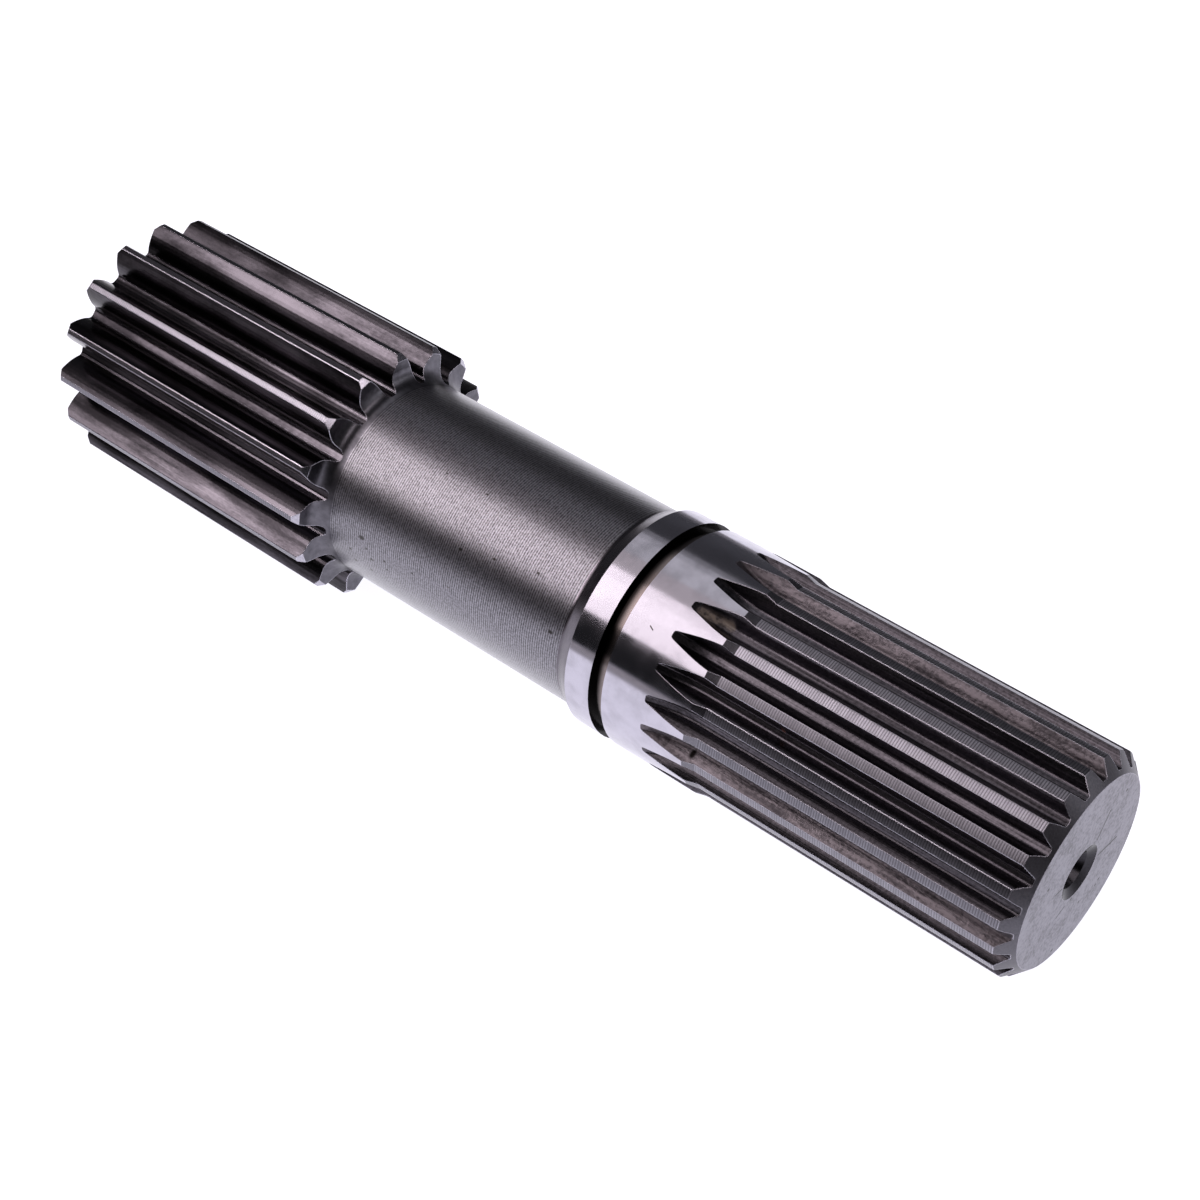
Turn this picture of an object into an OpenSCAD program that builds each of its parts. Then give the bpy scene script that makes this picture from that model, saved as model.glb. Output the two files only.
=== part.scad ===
// Sun gear shaft: a sun gear, a plain shank, a bearing journal with a ring groove and an involute spline,
// all cut on one turned and ground steel bar. Millimetres; the shaft lies along X with the spline end at +X.

/* [Sun gear] */
// Number of gear teeth
gear_teeth = 16; // [13:1:17]
// Module of the gear, the pitch diameter for each tooth
gear_module = 3.175; // [2.9:0.025:3.3]
// Pressure angle of the gear in degrees
gear_pressure_angle = 20; // [18:0.5:22]
// Profile shift of the gear, in modules
gear_shift = 0.5; // [0.3:0.05:0.6]
// Height of the tooth above the shifted pitch circle, in modules
gear_addendum = 1; // [0.9:0.02:1]
// Depth of the tooth below the shifted pitch circle, in modules
gear_dedendum = 1.157; // [1.1:0.001:1.25]
// Height above the base circle at which the involute gives way to the root fillet
gear_form_step = 0.3; // [0.2:0.05:0.4]
// Length of the teeth along the shaft, end face to end face
gear_face_w = 78.45; // [40:0.05:120]
// Chamfer at both ends of each tooth tip
gear_end_chamfer = 1.2; // [0.5:0.1:2]
// Small break along both edges of each tooth tip
gear_tip_break = 0.12; // [0.05:0.01:0.2]
// Radius of the fillet from the shank up to the tooth end faces
gear_fillet = 3.6; // [1.5:0.1:4.5]

/* [Shank] */
// Length from the bearing land's last edge to the gear's first end face
shank_l = 72.3; // [40:0.1:120]
// How far the shank's radius lies below the gear's tooth roots
shank_relief = 0.23; // [0.1:0.01:0.6]
// Angle between the shoulder cone and the axis in degrees
shoulder_angle = 30; // [20:1:45]
// Radius of the fillet from the shoulder cone to the shank
shoulder_fillet = 2; // [0.5:0.1:3]

/* [Bearing journal] */
// Diameter of the polished journal
journal_d = 50; // [49.6:0.1:52]
// Length of the clean bearing seat, from the spline run-outs to the ring groove
seat_l = 10.2; // [6:0.1:30]
// Width of the ring groove
groove_w = 3.45; // [1.5:0.05:5]
// Diameter at the floor of the ring groove
groove_d = 47; // [45:0.1:48.6]
// Length of the land between the ring groove and the shoulder cone
land_l = 6.2; // [3:0.1:20]

/* [Spline] */
// Number of spline teeth
spline_teeth = 22; // [18:1:22]
// Module of the spline
spline_module = 2.1167; // [1.9:0.0001:2.14]
// Pressure angle of the spline in degrees
spline_pressure_angle = 30; // [28:0.5:32]
// Height of the spline crest above its pitch circle, in modules
spline_addendum = 0.5; // [0.4:0.02:0.5]
// Depth of the spline groove below its pitch circle, in modules
spline_dedendum = 0.7; // [0.6:0.02:0.8]
// Height above the groove floor at which the flank gives way to the root fillet
spline_form_step = 0.35; // [0.2:0.05:0.45]
// Length of the spline at full depth, from the end face
spline_l = 72.9; // [40:0.1:110]
// Radius of the hob that leaves the run-outs
hob_r = 26.2; // [15:0.1:45]
// Turn of a spline groove from the middle of a gear tooth in degrees
spline_turn = 0; // [0:0.5:16]

/* [Spline end] */
// How far the end face's radius lies below the groove floors
end_face_step = 0.82; // [0.3:0.01:2]
// Length of the end chamfer along the axis
end_chamfer_l = 3.05; // [1:0.05:6]
// How far the crests stop short of the full depth length before the taper
taper_setback = 0.65; // [0:0.05:3]
// Length of the taper from the crests up to the journal
taper_l = 2.85; // [1:0.05:8]

/* [Centre holes] */
// Outer diameter of the protecting countersink
guard_d = 12; // [10.5:0.1:14]
// Diameter where the countersink meets the 60 degree seat
centre_d = 8.4; // [7:0.1:10]
// Diameter of the pilot drilling
pilot_d = 4; // [2:0.1:5]
// Length of the pilot drilling's straight wall
pilot_l = 5; // [2:0.1:12]

/* [Hidden] */
$fn = 192;

// Included angles of the centre hole's cones and of its drill point
guard_angle = 120;
seat_angle = 60;
drill_angle = 118;
// Overlap that lets cutting shapes pass clear of the faces they cut
over = 1;
// Straight steps along each tooth flank, round each root fillet and across each groove floor
flank_steps = 8;
fillet_steps = 4;
floor_steps = 2;

// Radii of the gear
gear_pitch_r = gear_module * gear_teeth / 2;
gear_base_r = gear_pitch_r * cos(gear_pressure_angle);
gear_tip_r = gear_pitch_r + gear_module * (gear_addendum + gear_shift);
gear_root_r = gear_pitch_r - gear_module * (gear_dedendum - gear_shift);
gear_form_r = max(gear_base_r, gear_root_r) + gear_form_step;

// Radii of the spline
spline_pitch_r = spline_module * spline_teeth / 2;
spline_base_r = spline_pitch_r * cos(spline_pressure_angle);
crest_r = spline_pitch_r + spline_module * spline_addendum;
spline_root_r = spline_pitch_r - spline_module * spline_dedendum;
spline_form_r = spline_root_r + spline_form_step;
end_face_r = spline_root_r - end_face_step;

// Radii of the shaft
journal_r = journal_d / 2;
groove_r = groove_d / 2;
shank_r = gear_root_r - shank_relief;

// The hob's axis, and how far along the shaft its run-out reaches on the journal
hob_axis_r = spline_root_r + hob_r;
runout_angle = acos((hob_axis_r - journal_r) / hob_r);
runout_l = hob_r * sin(runout_angle);

// Distances along the shaft from the spline's end face
taper_start = spline_l - taper_setback;
taper_end = taper_start + taper_l;
seat_start = spline_l + runout_l;
groove_start = seat_start + seat_l;
groove_end = groove_start + groove_w;
land_end = groove_end + land_l;
shoulder_end = land_end + (journal_r - shank_r) / tan(shoulder_angle);
gear_start = land_end + shank_l;
gear_end = gear_start + gear_face_w;

// The origin is on the axis in the middle of the bearing seat
origin_at = seat_start + seat_l / 2;

// Involute of an angle in degrees
function involute(a) = tan(a) * 180 / PI - a;

// Half angle of a tooth space on its base circle, for a gear cut with the given shift
function base_half_space(teeth, angle, shift) =
    180 / teeth - (90 + 2 * shift * tan(angle) * 180 / PI) / teeth - involute(angle);

// Half angle of the same space at radius r
function half_space(r, base_r, base_half) = base_half + involute(acos(base_r / r));

function polar(r, a) = [r * cos(a), r * sin(a)];

// One side of a tooth space from the groove floor's middle up its root fillet and flank to the radius top_r.
// The fillet touches the flank at form_r and the root circle.
function space_side(base_r, base_half, root_r, form_r, top_r) =
    let (
        flank_angle = acos(base_r / form_r),
        touch_at = half_space(form_r, base_r, base_half),
        fillet_r = (form_r * form_r - root_r * root_r) / (2 * (root_r - form_r * sin(flank_angle))),
        inward = touch_at + flank_angle - 90,
        centre = polar(form_r, touch_at) + polar(fillet_r, inward),
        floor_half = atan2(centre[1], centre[0]),
        sweep_from = floor_half + 180,
        sweep_to = inward + 180
    )
    concat(
        [for (i = [1 : floor_steps]) polar(root_r, floor_half * i / floor_steps)],
        [for (i = [1 : fillet_steps])
            centre + polar(fillet_r, sweep_from + (sweep_to - sweep_from) * i / fillet_steps)],
        [for (i = [1 : flank_steps])
            let (r = form_r + (top_r - form_r) * i / flank_steps)
            polar(r, half_space(r, base_r, base_half))]
    );

// The same points on the other side, from the top down to the floor
function mirrored(side) = [for (i = [len(side) - 1 : -1 : 0]) [side[i][0], -side[i][1]]];

// A whole tooth space: both sides, the floor's middle point, and a roof above the part
function whole_space(side, root_r, roof_r) = concat(mirrored(side), [[root_r, 0]], side, [[roof_r, 0]]);

// Sides of the gear's tooth space, flared at the top to break the edges of the tooth tips
gear_side = concat(
    space_side(
        gear_base_r,
        base_half_space(gear_teeth, gear_pressure_angle, gear_shift),
        gear_root_r,
        gear_form_r,
        gear_tip_r - gear_tip_break
    ),
    [polar(
        gear_tip_r + over,
        half_space(
            gear_tip_r - gear_tip_break,
            gear_base_r,
            base_half_space(gear_teeth, gear_pressure_angle, gear_shift)
        ) + (over + gear_tip_break) / gear_tip_r * 180 / PI
    )]
);
gear_space = whole_space(gear_side, gear_root_r, (gear_tip_r + over) / cos(180 / gear_teeth));

// Sides of the spline's tooth space, carried up past the journal for the run-outs
spline_side = space_side(
    spline_base_r,
    base_half_space(spline_teeth, spline_pressure_angle, 0),
    spline_root_r,
    spline_form_r,
    journal_r + over / 2
);
spline_space = whole_space(spline_side, spline_root_r, (journal_r + over / 2) / cos(180 / spline_teeth));

// Half section of a centre hole that opens at the axis's zero point
module centre_hole_section() {
    seat_at = (guard_d - centre_d) / 2 / tan(guard_angle / 2);
    pilot_at = seat_at + (centre_d - pilot_d) / 2 / tan(seat_angle / 2);
    pilot_end = pilot_at + pilot_l;
    drill_end = pilot_end + pilot_d / 2 / tan(drill_angle / 2);
    polygon([
        [0, -over],
        [guard_d / 2 + over * tan(guard_angle / 2), -over],
        [centre_d / 2, seat_at],
        [pilot_d / 2, pilot_at],
        [pilot_d / 2, pilot_end],
        [0, drill_end]
    ]);
}

// Half section of the turned bar: radius across, distance from the spline's end face upwards.
// Each inside corner is bridged between its fillet's two touching points, and the fillet's circle is cut out.
module turned_section() {
    shoulder_touch = shoulder_fillet * tan(shoulder_angle / 2);
    difference() {
        polygon([
            [0, 0],
            [end_face_r, 0],
            [crest_r, end_chamfer_l],
            [crest_r, taper_start],
            [journal_r, taper_end],
            [journal_r, groove_start],
            [groove_r, groove_start],
            [groove_r, groove_end],
            [journal_r, groove_end],
            [journal_r, land_end],
            [shank_r, shoulder_end] + shoulder_touch * [sin(shoulder_angle), -cos(shoulder_angle)],
            [shank_r, shoulder_end + shoulder_touch],
            [shank_r, gear_start - gear_fillet],
            [shank_r + gear_fillet, gear_start],
            [gear_tip_r - gear_end_chamfer, gear_start],
            [gear_tip_r, gear_start + gear_end_chamfer],
            [gear_tip_r, gear_end - gear_end_chamfer],
            [gear_tip_r - gear_end_chamfer, gear_end],
            [0, gear_end]
        ]);
        translate([shank_r + shoulder_fillet, shoulder_end + shoulder_touch]) circle(shoulder_fillet);
        translate([shank_r + gear_fillet, gear_start - gear_fillet]) circle(gear_fillet);
        centre_hole_section();
        translate([0, gear_end]) mirror([0, 1]) centre_hole_section();
    }
}

// One gear tooth space, open at the gear's far end and running out over the shank
module gear_cut() {
    translate([0, 0, gear_start - gear_fillet - over])
        linear_extrude(gear_fillet + gear_face_w + 2 * over) polygon(gear_space);
}

// One spline groove: straight at full depth, then lifted round the hob's axis
module spline_cut() {
    translate([0, 0, -over]) linear_extrude(spline_l + over) polygon(spline_space);
    translate([hob_axis_r, 0, spline_l])
        rotate([90, 0, 180])
            rotate_extrude(angle = runout_angle + asin(over / hob_r))
                polygon([for (p = spline_space) [hob_axis_r - p[0], p[1]]]);
}

module sun_gear_shaft() {
    color([0.66, 0.65, 0.69])
        translate([origin_at, 0, 0])
            rotate([0, -90, 0])
                difference() {
                    rotate_extrude() turned_section();
                    for (i = [0 : gear_teeth - 1])
                        rotate(i * 360 / gear_teeth) gear_cut();
                    for (i = [0 : spline_teeth - 1])
                        rotate(180 / gear_teeth + spline_turn + i * 360 / spline_teeth) spline_cut();
                }
}

sun_gear_shaft();
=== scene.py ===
import math

import bpy
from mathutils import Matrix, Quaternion, Vector


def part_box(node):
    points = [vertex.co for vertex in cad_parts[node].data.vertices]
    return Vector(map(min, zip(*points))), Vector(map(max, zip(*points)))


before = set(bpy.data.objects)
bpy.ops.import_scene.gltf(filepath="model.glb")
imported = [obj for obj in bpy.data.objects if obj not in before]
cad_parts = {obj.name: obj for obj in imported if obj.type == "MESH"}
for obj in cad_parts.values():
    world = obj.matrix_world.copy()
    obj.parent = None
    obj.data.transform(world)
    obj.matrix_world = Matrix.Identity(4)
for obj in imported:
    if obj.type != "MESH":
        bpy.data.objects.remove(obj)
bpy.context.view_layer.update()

# The shaft lies along X. Its sizes are in millimetres, and distances along it run from the spline's
# end face.
MM = 0.001
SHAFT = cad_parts["sun_gear_shaft"]
SHAFT_LOW, SHAFT_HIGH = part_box("sun_gear_shaft")
SHAFT_L = (SHAFT_HIGH.x - SHAFT_LOW.x) / MM
END_X = SHAFT_HIGH.x / MM
GEAR_TIP_R = 30.16
TOOTH_CHAMFER = 1.5
CREST_R = 24.34
JOURNAL_R = 25.0
GROOVE_FLOOR_R = 23.5
SHANK_R = 23.08
CENTRE_HOLE_R = 6.1
END_CHAMFER_L = 3.05
CREST_END = 72.25
TAPER_END = 75.1
RUNOUT_END = 85.5
GROOVE_START = 95.64
GROOVE_END = 99.09
LAND_END = 105.29
SHOULDER_END = 109.1
SHANK_END = 173.9

# Camera of the photograph
CAMERA_AT = Vector((0.1969, -0.26215, 0.32558))
CAMERA_AIM = Vector((-0.01468, -0.01389, 0.01559))
CAMERA_ROLL = -0.213
CAMERA_LENS = 67.505
CAMERA_SENSOR = 36

# Colours of the steel and of what lies on it, in linear light
STEEL = (0.50, 0.485, 0.56)
STAINED = (0.44, 0.405, 0.47)
BROWN = (0.30, 0.255, 0.25)
RESIDUE = (0.43, 0.38, 0.42)
DRIED_OIL = (0.17, 0.14, 0.12)
RUST = (0.10, 0.035, 0.025)

# Worn edges: their widths, how much lighter than the steel they are (partly wear, partly a painted
# highlight), and the cosines between the rounded and the flat normal over which they fade in
EDGE_WIDE = 0.3
EDGE_END = 0.25
EDGE_TOOTH = 0.2
EDGE_FINE = 0.15
EDGE_WEAR_AND_HIGHLIGHT = 1.4
EDGE_FULL = 0.88
EDGE_NONE = 0.99
BEVEL_SAMPLES = 4

# Oil film, and the quarter turn that lays the gloss along the shaft
FILM_ROUGHNESS = 0.3
FILM_IOR = 1.38
QUARTER_TURN = 0.25

# Soft borders, as shares of a stroke's and a strip's half width
STROKE_INNER = 0.5
STROKE_OUTER = 1.6
STRIP_INNER = 0.7

# Feed of the turning tool per turn
SHANK_FEED = 0.579
CREST_FEED = 0.566

# Dark pits on the shank: distance along it, degrees from straight up towards the back, and radius
SHANK_PITS = [
    (164.4, -80.0, 0.49),
    (166.9, -99.7, 0.35),
    (168.0, -92.5, 0.28),
    (163.0, -85.3, 0.22),
    (162.3, -100.1, 0.28),
    (161.5, -90.8, 0.28),
    (157.6, -86.6, 0.25),
    (156.9, -91.4, 0.22),
    (149.5, -83.2, 0.20),
    (138.6, -55.2, 0.31),
    (130.1, -50.6, 0.25),
    (119.3, -45.4, 0.25),
    (111.7, -69.3, 0.35),
    (150.7, -24.4, 0.17),
    (139.6, -23.5, 0.20),
]

# Scratch on the journal: distance along it and degrees of both ends, and half width
JOURNAL_SCRATCH = [((89.6, -40.9), (90.5, -39.9), 0.12)]

# Chips, rust and dried oil in the spline grooves: distance along and degrees of both ends, and half width
GROOVE_CHIPS = [((73.7, -90.5), (73.8, -90.5), 0.5)]
GROOVE_RUST = [((56.5, -51.5), (56.8, -51.5), 0.4)]
GROOVE_OIL = [((77.2, -20.0), (83.4, -22.0), 0.9)]

# Dot on a gear flank, in the same form
FLANK_DOT = [((179.2, 21.7), (179.4, 21.7), 0.4)]

# Spline grooves with a heavier stain: degrees of their middles and half width
STAINED_GROOVES = (13.0, -89.0)
STAINED_HALF = 9.0

# Spline crests painted lighter than the others, as a painted highlight, and darker, as painted shade:
# degrees of the strip's middle and half width
PAINTED_HIGHLIGHT_CRESTS = (-21.0, 16.0)
PAINTED_SHADE_CRESTS = (-62.0, 24.0)

# Scratches and dots on the spline's end face: Y and Z of both ends, and half width
END_MARKS = [
    ((8.1, 10.4), (4.9, 5.0), 0.2),
    ((13.9, -2.3), (6.9, -1.2), 0.2),
    ((-6.5, 1.1), (-8.8, 1.4), 0.17),
    ((-3.7, -6.7), (-6.3, -7.5), 0.17),
    ((9.8, -11.0), (9.9, -11.0), 0.32),
    ((8.8, -11.9), (8.9, -11.9), 0.28),
    ((-1.3, -6.6), (-1.2, -6.6), 0.32),
    ((11.6, -2.1), (11.7, -2.1), 0.32),
    ((13.6, 11.3), (13.7, 11.3), 0.32),
    ((2.6, -11.2), (2.7, -11.2), 0.28),
    ((-12.5, 6.5), (-12.4, 6.5), 0.30),
    ((-5.1, -18.5), (-5.0, -18.5), 0.32),
]


def shade(colour, share):
    return tuple(share * c for c in colour)


class Graph:
    """A node tree, with short calls for the nodes that several materials share."""

    def __init__(self, owner):
        owner.use_nodes = True
        self.owner = owner
        self.tree = owner.node_tree
        self.tree.nodes.clear()

    def add(self, kind, **settings):
        node = self.tree.nodes.new(kind)
        for key, value in settings.items():
            setattr(node, key, value)
        return node

    def feed(self, socket, value):
        if isinstance(value, bpy.types.NodeSocket):
            self.tree.links.new(value, socket)
        elif socket.type == "RGBA":
            socket.default_value = (*value, 1)
        else:
            socket.default_value = value

    def node(self, kind, values, **settings):
        node = self.add(kind, **settings)
        for socket, value in zip(node.inputs, values):
            self.feed(socket, value)
        return node.outputs

    def math(self, operation, *values):
        return self.node("ShaderNodeMath", values, operation=operation)[0]

    def times(self, first, second):
        return self.math("MULTIPLY", first, second)

    def minus(self, first, second):
        return self.math("SUBTRACT", first, second)

    def times_plus(self, first, second, third):
        return self.math("MULTIPLY_ADD", first, second, third)

    def length(self, vector):
        return self.node("ShaderNodeVectorMath", [vector], operation="LENGTH")["Value"]

    def dot(self, first, second):
        return self.node("ShaderNodeVectorMath", [first, second], operation="DOT_PRODUCT")["Value"]

    def point(self, x, y, z):
        return self.node("ShaderNodeCombineXYZ", [x, y, z])[0]

    def parts(self, vector):
        return self.node("ShaderNodeSeparateXYZ", [vector])

    def scaled(self, vector, scale):
        node = self.add("ShaderNodeVectorMath", operation="SCALE")
        self.feed(node.inputs[0], vector)
        self.feed(node.inputs["Scale"], scale)
        return node.outputs[0]

    def ramp(self, value, low, high, to_low=0.0, to_high=1.0):
        """Carries low..high smoothly over to to_low..to_high, and holds there."""
        values = [value, low, high, to_low, to_high]
        return self.node("ShaderNodeMapRange", values, interpolation_type="SMOOTHSTEP")[0]

    def mix(self, share, first, second):
        node = self.add("ShaderNodeMix", data_type="RGBA")
        self.feed(node.inputs["Factor"], share)
        self.feed(node.inputs[6], first)
        self.feed(node.inputs[7], second)
        return node.outputs[2]

    def noise(self, place, detail, rough):
        node = self.add("ShaderNodeTexNoise")
        self.feed(node.inputs["Vector"], place)
        self.feed(node.inputs["Scale"], 1.0)
        self.feed(node.inputs["Detail"], detail)
        self.feed(node.inputs["Roughness"], rough)
        return node.outputs["Fac"]

    def strokes(self, u, v, marks):
        """Mask of straight strokes over two coordinates, each with two ends and a half width."""
        mask = 0.0
        for (from_u, from_v), (to_u, to_v), width in marks:
            run_u = to_u - from_u
            run_v = to_v - from_v
            square = run_u * run_u + run_v * run_v
            du = self.minus(u, from_u)
            dv = self.minus(v, from_v)
            share = self.times_plus(du, run_u / square, self.times(dv, run_v / square))
            share = self.math("MINIMUM", self.math("MAXIMUM", share, 0.0), 1.0)
            off_u = self.times_plus(share, -run_u, du)
            off_v = self.times_plus(share, -run_v, dv)
            off = self.length(self.point(off_u, off_v, 0.0))
            stroke = self.ramp(off, STROKE_INNER * width, STROKE_OUTER * width, 1.0, 0.0)
            mask = self.math("MAXIMUM", mask, stroke)
        return mask


class SteelGraph(Graph):
    """A material of the shaft, with the place on the shaft in millimetres."""

    def __init__(self, name):
        super().__init__(bpy.data.materials.new(name))
        self.place = self.scaled(self.add("ShaderNodeTexCoord").outputs["Object"], 1 / MM)
        x, self.y, self.z = self.parts(self.place)
        self.along = self.minus(END_X, x)
        self.turn = self.math("ARCTAN2", self.y, self.z)
        self.radius = self.length(self.point(0.0, self.y, self.z))

    def blotches(self, along, around, detail=3.0, rough=0.55):
        """Noise in 0..1 with features of the given sizes along the shaft and around or across it."""
        arc = self.times(self.turn, self.times(self.radius, 1 / around))
        place = self.point(self.times(self.along, 1 / along), arc, self.times(self.radius, 1 / around))
        return self.noise(place, detail, rough)

    def grain(self, size, detail=2.0):
        """Noise in 0..1 with features of one size in all directions."""
        return self.noise(self.scaled(self.place, 1 / size), detail, 0.6)

    def tool_marks(self, feed):
        """Wave in 0..1 along the shaft that climbs by one feed in each turn."""
        steps = self.times_plus(self.along, 1 / feed, self.times(self.turn, 1 / math.tau))
        return self.times_plus(self.math("SINE", self.times(steps, math.tau)), 0.5, 0.5)

    def near_turn(self, degrees, half):
        """Mask of a strip along the shaft."""
        off = self.math("ABSOLUTE", self.minus(self.turn, math.radians(degrees)))
        return self.ramp(off, STRIP_INNER * math.radians(half), math.radians(half), 1.0, 0.0)

    def strokes_around(self, radius, marks):
        """Mask of strokes at a radius. Their ends are distances along the shaft and degrees."""
        flat = []
        for (from_along, from_degrees), (to_along, to_degrees), width in marks:
            start = (from_along, radius * math.radians(from_degrees))
            flat.append((start, (to_along, radius * math.radians(to_degrees)), width))
        return self.strokes(self.along, self.times(self.turn, radius), flat)

    def round_normal(self):
        """Normal of a turned surface: the mesh's own lean along the shaft, and otherwise straight out."""
        lean = self.parts(self.add("ShaderNodeNewGeometry").outputs["Normal"])[0]
        square = self.times_plus(lean, self.times(lean, -1.0), 1.0)
        outward = self.math("SQRT", self.math("MAXIMUM", square, 0.0))
        share = self.math("DIVIDE", outward, self.radius)
        return self.point(lean, self.times(self.y, share), self.times(self.z, share))

    def worn(self, radius, normal):
        """Normal rounded over sharp edges, and a mask of those edges, for their wear and painted
        highlight.
        """
        bevel = self.add("ShaderNodeBevel", samples=BEVEL_SAMPLES)
        bevel.inputs["Radius"].default_value = radius * MM
        if normal:
            self.feed(bevel.inputs["Normal"], normal)
        rounded = bevel.outputs[0]
        flat = self.add("ShaderNodeNewGeometry").outputs["True Normal"]
        return rounded, self.ramp(self.dot(rounded, flat), EDGE_FULL, EDGE_NONE, 1.0, 0.0)

    def steel(self, colour, roughness, height=None, brushed=0.0, film=0.0, edge=0.0, turned=True,
              bare=1.0):
        """The metal surface. height is in millimetres, brushed is how far the gloss spreads along the
        shaft, film is the weight of its oil film, edge is how wide its edges look worn and carry a
        painted highlight, in millimetres, turned is for surfaces that are round about the axis, and bare
        is the share of metal that nothing covers."""
        shader = self.add("ShaderNodeBsdfPrincipled")
        self.feed(shader.inputs["Metallic"], bare)
        normal = self.round_normal() if turned else None
        if edge:
            normal, wear_and_highlight = self.worn(edge, normal)
            # Edges are made lighter than the steel: partly wear, partly a painted highlight.
            colour = self.mix(wear_and_highlight, colour, shade(STEEL, EDGE_WEAR_AND_HIGHLIGHT))
        self.feed(shader.inputs["Base Color"], colour)
        self.feed(shader.inputs["Roughness"], roughness)
        if brushed:
            shader.inputs["Anisotropic"].default_value = brushed
            shader.inputs["Anisotropic Rotation"].default_value = QUARTER_TURN
            around = self.add("ShaderNodeTangent", direction_type="RADIAL", axis="X")
            self.feed(shader.inputs["Tangent"], around.outputs[0])
        if film:
            shader.inputs["Coat Weight"].default_value = film
            shader.inputs["Coat Roughness"].default_value = FILM_ROUGHNESS
            shader.inputs["Coat IOR"].default_value = FILM_IOR
        if height is not None:
            bump = self.add("ShaderNodeBump")
            bump.inputs["Distance"].default_value = MM
            self.feed(bump.inputs["Height"], height)
            if normal:
                self.feed(bump.inputs["Normal"], normal)
            normal = bump.outputs[0]
        if normal:
            self.feed(shader.inputs["Normal"], normal)
        output = self.add("ShaderNodeOutputMaterial")
        self.feed(output.inputs["Surface"], shader.outputs[0])
        return self.owner


def polished_finish():
    graph = SteelGraph("polished_journal")
    cloud = graph.blotches(5, 5)
    colour = graph.mix(graph.ramp(cloud, 0.35, 0.75), shade(STEEL, 1.04), shade(STEEL, 0.86))
    colour = graph.mix(graph.strokes_around(JOURNAL_R, JOURNAL_SCRATCH), colour, shade(BROWN, 0.2))
    roughness = graph.ramp(cloud, 0.3, 0.7, 0.1, 0.17)
    return graph.steel(colour, roughness)


def turned_finish():
    graph = SteelGraph("turned_shank")
    lines = graph.tool_marks(SHANK_FEED)
    grain = graph.grain(0.45)
    light = graph.times_plus(lines, 0.65, graph.times(graph.ramp(grain, 0.38, 0.62), 0.35))
    colour = graph.mix(light, shade(STEEL, 0.05), shade(STEEL, 0.63))
    colour = graph.mix(graph.ramp(graph.grain(0.7, 3), 0.68, 0.74), colour, shade(BROWN, 0.3))
    pits = []
    for along, degrees, radius in SHANK_PITS:
        pits.append(((along, degrees), (along + radius, degrees), radius))
    colour = graph.mix(graph.strokes_around(SHANK_R, pits), colour, shade(BROWN, 0.05))
    height = graph.times_plus(lines, 0.035, graph.times(grain, 0.03))
    return graph.steel(colour, 0.32, height, brushed=0.15, film=1.0)


def crest_finish():
    graph = SteelGraph("turned_crests")
    lines = graph.ramp(graph.tool_marks(CREST_FEED), 0.05, 0.6)
    uneven = graph.ramp(graph.blotches(1.2, 30), 0.3, 0.7, 0.55, 1.0)
    light = graph.times(lines, graph.times(uneven, graph.ramp(graph.grain(0.35), 0.35, 0.6, 0.7, 1.0)))
    # Painted highlight: the crests in one strip on the lit upper front get lighter tool marks.
    light = graph.times(light, graph.times_plus(graph.near_turn(*PAINTED_HIGHLIGHT_CRESTS), 0.5, 0.8))
    colour = graph.mix(light, shade(STEEL, 0.29), shade(STEEL, 0.68))
    # Painted shade: the crests on the front, below the highlight, are darkened towards black.
    colour = graph.mix(graph.times(graph.near_turn(*PAINTED_SHADE_CRESTS), 0.3), colour, shade(STEEL, 0.05))
    return graph.steel(colour, 0.33, graph.times(lines, 0.02), brushed=0.4, edge=EDGE_WIDE)


def taper_finish():
    graph = SteelGraph("taper")
    colour = graph.mix(graph.grain(0.4), shade(STEEL, 0.2), shade(STEEL, 0.45))
    return graph.steel(colour, 0.24, edge=EDGE_FINE)


def hobbed_finish():
    graph = SteelGraph("hobbed_grooves")
    streak = graph.blotches(30, 0.3)
    light = graph.times_plus(streak, 0.6, graph.times(graph.grain(0.6, 4), 0.4))
    colour = graph.mix(graph.ramp(light, 0.3, 0.7), shade(STAINED, 0.05), shade(STAINED, 0.33))
    strips = [graph.near_turn(degrees, STAINED_HALF) for degrees in STAINED_GROOVES]
    heavy = graph.math("MAXIMUM", *strips)
    spots = graph.times_plus(graph.blotches(9, 2.2), 0.6, graph.times(graph.grain(0.9, 6), 0.4))
    patches = graph.ramp(spots, 0.4, 0.64)
    residue = graph.mix(patches, shade(RESIDUE, 0.36), shade(RESIDUE, 0.08))
    colour = graph.mix(graph.times(heavy, 0.75), colour, residue)
    broken = graph.ramp(spots, 0.45, 0.62, 1.0, 0.3)
    oil = graph.times(graph.strokes_around(CREST_R, GROOVE_OIL), broken)
    rust = graph.strokes_around(CREST_R, GROOVE_RUST)
    colour = graph.mix(rust, graph.mix(oil, colour, DRIED_OIL), RUST)
    colour = graph.mix(graph.strokes_around(CREST_R, GROOVE_CHIPS), colour, shade(BROWN, 0.02))
    bare = graph.minus(1.0, graph.math("MAXIMUM", oil, rust))
    roughness = graph.times_plus(heavy, 0.16, 0.24)
    height = graph.times(graph.times(heavy, patches), -0.05)
    return graph.steel(colour, roughness, height, edge=EDGE_WIDE, turned=False, bare=bare)


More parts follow.
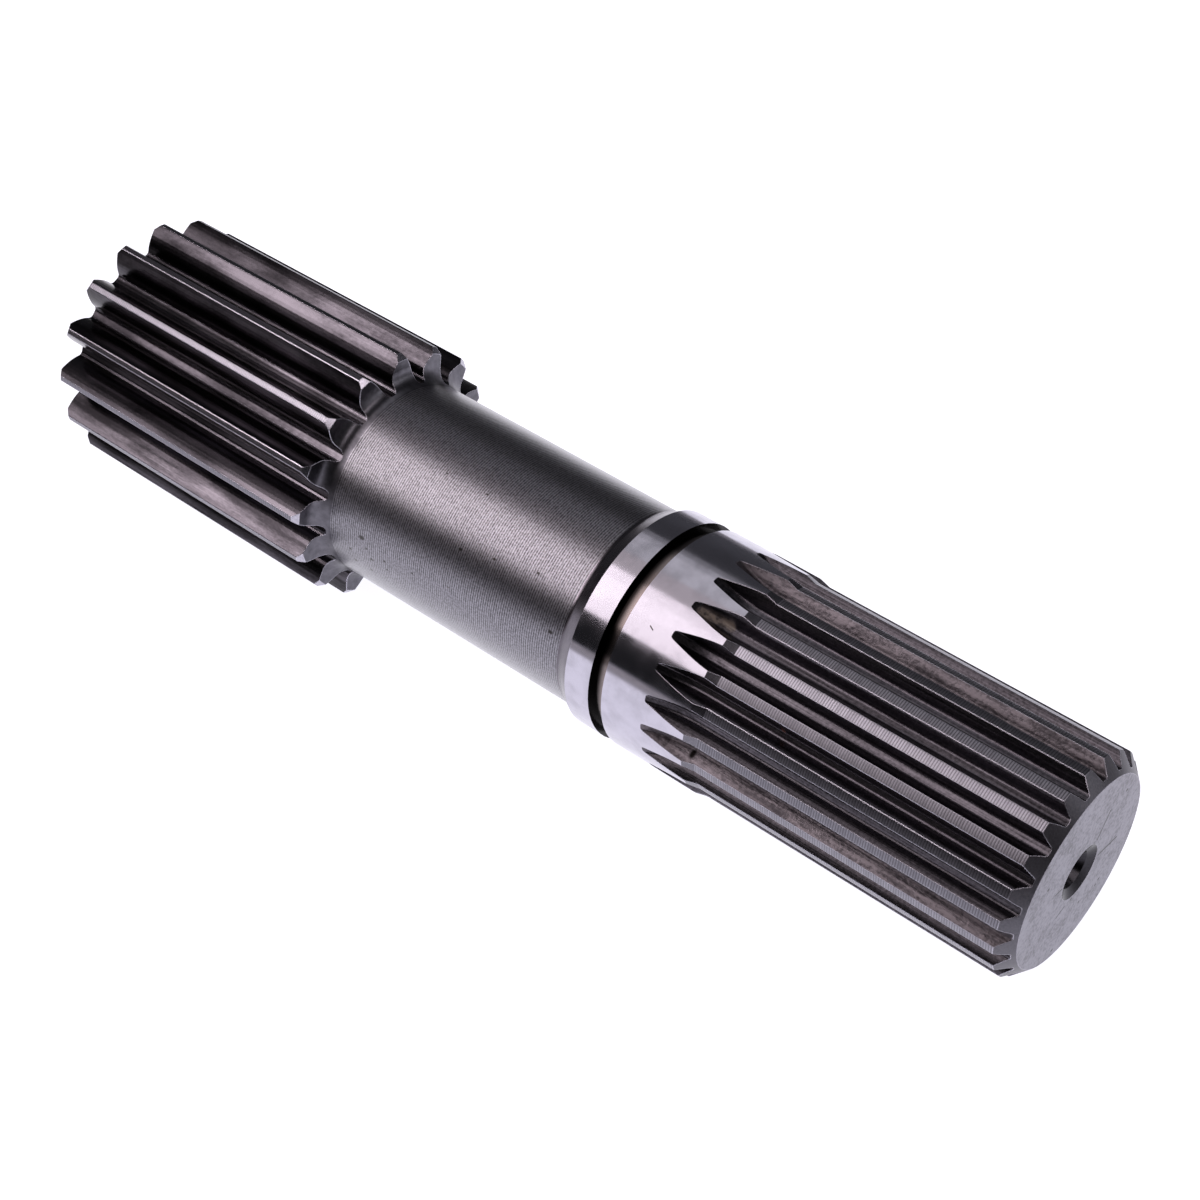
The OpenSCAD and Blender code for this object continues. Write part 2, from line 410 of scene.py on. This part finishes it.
def flank_finish():
    graph = SteelGraph("gear_flanks")
    streak = graph.blotches(60, 0.35)
    cloud = graph.blotches(24, 7, 2)
    mottle = graph.blotches(1.2, 0.8)
    light = graph.times_plus(streak, 0.12, graph.times_plus(cloud, 0.7, graph.times(mottle, 0.18)))
    colour = graph.mix(graph.ramp(light, 0.36, 0.66), shade(STAINED, 0.04), shade(STAINED, 0.21))
    colour = graph.mix(graph.strokes_around(GEAR_TIP_R, FLANK_DOT), colour, shade(BROWN, 0.02))
    return graph.steel(colour, 0.19, graph.times(streak, 0.002), edge=EDGE_WIDE, turned=False)


def tip_finish():
    graph = SteelGraph("gear_tips")
    lines = graph.tool_marks(CREST_FEED)
    colour = graph.mix(lines, shade(STEEL, 0.23), shade(STEEL, 0.47))
    return graph.steel(colour, 0.27, graph.times(lines, 0.01), edge=EDGE_WIDE)


def tooth_end_finish():
    graph = SteelGraph("tooth_end_chamfers")
    colour = graph.mix(graph.grain(0.5), shade(STEEL, 0.6), shade(STEEL, 1.1))
    return graph.steel(colour, 0.2, edge=EDGE_TOOTH)


def faced_finish():
    graph = SteelGraph("faced_gear_ends")
    colour = graph.mix(graph.grain(1.5), shade(STEEL, 0.12), shade(STEEL, 0.38))
    return graph.steel(colour, 0.32, edge=EDGE_WIDE)


def shoulder_finish():
    graph = SteelGraph("shoulder")
    colour = graph.mix(graph.blotches(2, 4), shade(STAINED, 0.18), shade(STAINED, 0.42))
    return graph.steel(colour, 0.22, edge=EDGE_FINE)


def groove_finish():
    graph = SteelGraph("ring_groove")
    # Painted shade and painted reflection: the floor darkens to near black over its part nearest the
    # gear-side wall, standing in for that wall's shade and its dark mirror image in the floor; the walls
    # are coloured near black too.
    corner_shade = graph.ramp(graph.along, GROOVE_START + 0.8, GROOVE_END - 1.0)
    wall = graph.ramp(graph.radius, GROOVE_FLOOR_R + 0.05, GROOVE_FLOOR_R + 0.15)
    colour = graph.mix(graph.blotches(1, 4), shade(BROWN, 0.6), shade(BROWN, 1.0))
    colour = graph.mix(graph.math("MAXIMUM", corner_shade, wall), colour, shade(BROWN, 0.04))
    return graph.steel(colour, 0.16)


def end_finish():
    graph = SteelGraph("end_face")
    cloud = graph.times_plus(graph.grain(4.0, 3), 0.4, graph.times(graph.grain(0.7, 3), 0.6))
    colour = graph.mix(graph.ramp(cloud, 0.32, 0.6), shade(STEEL, 0.26), shade(STEEL, 0.58))
    spline_end = graph.math("LESS_THAN", graph.along, 1.0)
    marks = graph.times(graph.strokes(graph.y, graph.z, END_MARKS), spline_end)
    colour = graph.mix(marks, colour, shade(STEEL, 0.04))
    return graph.steel(colour, 0.4, edge=EDGE_END)


def chamfer_finish():
    graph = SteelGraph("end_chamfer")
    colour = graph.mix(graph.grain(0.4), shade(STEEL, 0.14), shade(STEEL, 0.32))
    return graph.steel(colour, 0.38, edge=EDGE_END)


def hole_painted_shade():
    graph = SteelGraph("centre_hole")
    # Painted shade: the centre hole's surfaces are coloured near black, darkening the recess.
    colour = graph.mix(graph.grain(0.5), shade(STEEL, 0.04), shade(STEEL, 0.1))
    return graph.steel(colour, 0.26, turned=False)


FINISHES = {
    "polished": polished_finish,
    "turned": turned_finish,
    "crest": crest_finish,
    "taper": taper_finish,
    "hobbed": hobbed_finish,
    "flank": flank_finish,
    "tip": tip_finish,
    "tooth_end": tooth_end_finish,
    "faced": faced_finish,
    "shoulder": shoulder_finish,
    "groove": groove_finish,
    "end": end_finish,
    "chamfer": chamfer_finish,
    "hole": hole_painted_shade,
}


# Faces are told apart by their normals and by how far they are from a size
FACES_OUT = 0.96
SLANT_LOW = 0.6
SLANT_HIGH = 0.8
LEANS = 0.02
END_NEAR = 0.05
CREST_NEAR = 0.15
JOURNAL_NEAR = 0.5


def finish_of(along, radius, axial, outward):
    """Name of a face's finish, from its middle and from its normal along the shaft and outward."""
    faces_out = outward > FACES_OUT
    near_tip = radius > GEAR_TIP_R - TOOTH_CHAMFER
    if radius < CENTRE_HOLE_R:
        return "hole"
    if along < END_NEAR or along > SHAFT_L - END_NEAR:
        return "end"
    if along < END_CHAMFER_L and axial > SLANT_LOW:
        return "chamfer"
    if along < RUNOUT_END and (not faces_out or radius < CREST_R - CREST_NEAR):
        return "hobbed"
    if along < TAPER_END:
        return "crest" if along < CREST_END else "taper"
    if along < LAND_END:
        return "polished" if faces_out and radius > JOURNAL_R - JOURNAL_NEAR else "groove"
    if along < SHOULDER_END:
        return "shoulder"
    if along < SHANK_END:
        return "turned"
    if near_tip and faces_out:
        return "tip"
    if near_tip and SLANT_LOW < abs(axial) < SLANT_HIGH:
        return "tooth_end"
    return "faced" if abs(axial) > LEANS else "flank"


def dress_shaft():
    names = list(FINISHES)
    SHAFT.data.materials.clear()
    for name in names:
        SHAFT.data.materials.append(FINISHES[name]())
    for face in SHAFT.data.polygons:
        middle = face.center / MM
        radius = math.hypot(middle.y, middle.z)
        outward = (face.normal.y * middle.y + face.normal.z * middle.z) / max(radius, 0.001)
        face.material_index = names.index(finish_of(END_X - middle.x, radius, face.normal.x, outward))


def place_camera():
    data = bpy.data.cameras.new("camera")
    data.lens = CAMERA_LENS
    data.sensor_width = CAMERA_SENSOR
    camera = bpy.data.objects.new("camera", data)
    camera.location = CAMERA_AT
    level = (CAMERA_AIM - CAMERA_AT).to_track_quat("-Z", "Y")
    camera.rotation_mode = "QUATERNION"
    camera.rotation_quaternion = level @ Quaternion((0, 0, 1), math.radians(CAMERA_ROLL))
    bpy.context.scene.collection.objects.link(camera)
    bpy.context.scene.camera = camera


# Softboxes stand round the shaft's axis. Each fills a range of degrees from straight up towards the back,
# and a stretch of X in metres.
LAMP_DISTANCE = 1.0
WARM = (1.0, 0.9, 0.9)
COOL = (0.97, 0.95, 0.97)
SOFTBOXES = [
    ("key_low", (-58, -36), (-0.63, -0.05), 1.65, WARM),
    ("key_near", (-36, -20), (-0.63, -0.05), 1.8, WARM),
    ("key_top", (-20, -9), (-0.63, -0.05), 1.55, WARM),
    ("key_middle_low", (-60, -42), (-1.0, -0.63), 6.6, WARM),
    ("key_middle_near", (-42, -9), (-0.86, -0.63), 8.8, WARM),
    ("key_far_low", (-60, -42), (-2.4, -1.0), 1.6, WARM),
    ("key_far_near", (-42, -9), (-2.4, -0.86), 1.3, WARM),
    ("side", (-36, 28), (0.85, 1.35), 2.5, WARM),
    ("back", (45, 80), (0.7, 2.2), 1.2, COOL),
    ("key_edge", (-9, 9), (-0.9, -0.05), 0.6, WARM),
    ("ceiling", (9, 30), (-0.56, -0.1), 0.68, COOL),
    ("ceiling_edge", (30, 36), (-0.56, -0.1), 0.5, COOL),
    ("ceiling_end", (36, 42), (-0.56, -0.1), 0.22, COOL),
]


def add_softbox(name, angles, stretch, radiance, colour):
    middle = math.radians(sum(angles) / 2)
    half = math.radians((angles[1] - angles[0]) / 2)
    data = bpy.data.lights.new(name, "AREA")
    data.shape = "RECTANGLE"
    data.size = stretch[1] - stretch[0]
    data.size_y = 2 * LAMP_DISTANCE * math.tan(half)
    data.energy = math.pi * radiance * data.size * data.size_y
    data.color = colour
    lamp = bpy.data.objects.new(name, data)
    centre = LAMP_DISTANCE * Vector((0, math.sin(middle), math.cos(middle)))
    lamp.location = centre + Vector((sum(stretch) / 2, 0, 0))
    lamp.rotation_euler = (-middle, 0, 0)
    bpy.context.scene.collection.objects.link(lamp)


# The room is dark in front and lighter behind, most of all near the floor
ROOM_FRONT = (0.018, 0.018, 0.019)
ROOM_BACK = (0.055, 0.055, 0.06)
ROOM_LOW = (0.08, 0.08, 0.087)


def add_room():
    graph = Graph(bpy.data.worlds.new("room"))
    _, y, z = graph.parts(graph.add("ShaderNodeTexCoord").outputs["Generated"])
    back = graph.ramp(y, -0.1, 0.3)
    low = graph.ramp(z, 0.05, 0.5, 1.0, 0.0)
    colour = graph.mix(back, ROOM_FRONT, graph.mix(low, ROOM_BACK, ROOM_LOW))
    background = graph.add("ShaderNodeBackground")
    graph.feed(background.inputs["Color"], colour)
    output = graph.add("ShaderNodeOutputWorld")
    graph.feed(output.inputs["Surface"], background.outputs[0])
    bpy.context.scene.world = graph.owner


# The floor is white inside a pool of light, a square with round corners, and fades to grey round it
FLOOR_HALF = 4.0
POOL_AT = Vector((-0.095, 0.08, SHAFT_LOW.z))
POOL_TURN = math.radians(40.5)
POOL_HALF_WIDTH = 0.232
POOL_HALF_DEPTH = 0.244
POOL_FADE = 1.2
POOL_POWER = 4.0
POOL_GLOW = 0.98
BEYOND_GLOW = 0.12
GLOW_COLOUR = (1.0, 0.99, 1.08)
FLOOR_COLOUR = (0.35, 0.35, 0.35)


def floor_material():
    graph = Graph(bpy.data.materials.new("floor"))
    path = graph.add("ShaderNodeLightPath").outputs
    seen = graph.math("MAXIMUM", path["Is Camera Ray"], path["Is Glossy Ray"])
    seen = graph.math("MAXIMUM", seen, path["Is Transmission Ray"])
    place = graph.add("ShaderNodeTexCoord").outputs["Object"]
    place = graph.node("ShaderNodeVectorMath", [place, POOL_AT], operation="SUBTRACT")[0]
    across = graph.dot(place, (math.cos(POOL_TURN), math.sin(POOL_TURN), 0.0))
    deep = graph.dot(place, (-math.sin(POOL_TURN), math.cos(POOL_TURN), 0.0))
    across = graph.math("ABSOLUTE", graph.times(across, 1 / POOL_HALF_WIDTH))
    deep = graph.math("ABSOLUTE", graph.times(deep, 1 / POOL_HALF_DEPTH))
    across = graph.math("POWER", across, POOL_POWER)
    deep = graph.math("POWER", deep, POOL_POWER)
    off = graph.math("POWER", graph.math("ADD", across, deep), 1 / POOL_POWER)
    pool = graph.ramp(off, 1.0, POOL_FADE, POOL_GLOW, BEYOND_GLOW)
    glow = graph.add("ShaderNodeEmission")
    graph.feed(glow.inputs["Color"], GLOW_COLOUR)
    graph.feed(glow.inputs["Strength"], graph.times(seen, pool))
    matt = graph.add("ShaderNodeBsdfDiffuse")
    graph.feed(matt.inputs["Color"], FLOOR_COLOUR)
    both = graph.node("ShaderNodeAddShader", [glow.outputs[0], matt.outputs[0]])[0]
    graph.feed(graph.add("ShaderNodeOutputMaterial").inputs["Surface"], both)
    return graph.owner


def add_floor():
    low = SHAFT_LOW.z
    corners = [(x * FLOOR_HALF, y * FLOOR_HALF, low) for x, y in ((-1, -1), (1, -1), (1, 1), (-1, 1))]
    mesh = bpy.data.meshes.new("floor")
    mesh.from_pydata(corners, [], [(0, 1, 2, 3)])
    mesh.materials.append(floor_material())
    floor = bpy.data.objects.new("floor", mesh)
    bpy.context.scene.collection.objects.link(floor)


bpy.context.scene.view_settings.view_transform = "Standard"
place_camera()
dress_shaft()
for softbox in SOFTBOXES:
    add_softbox(*softbox)
add_room()
add_floor()
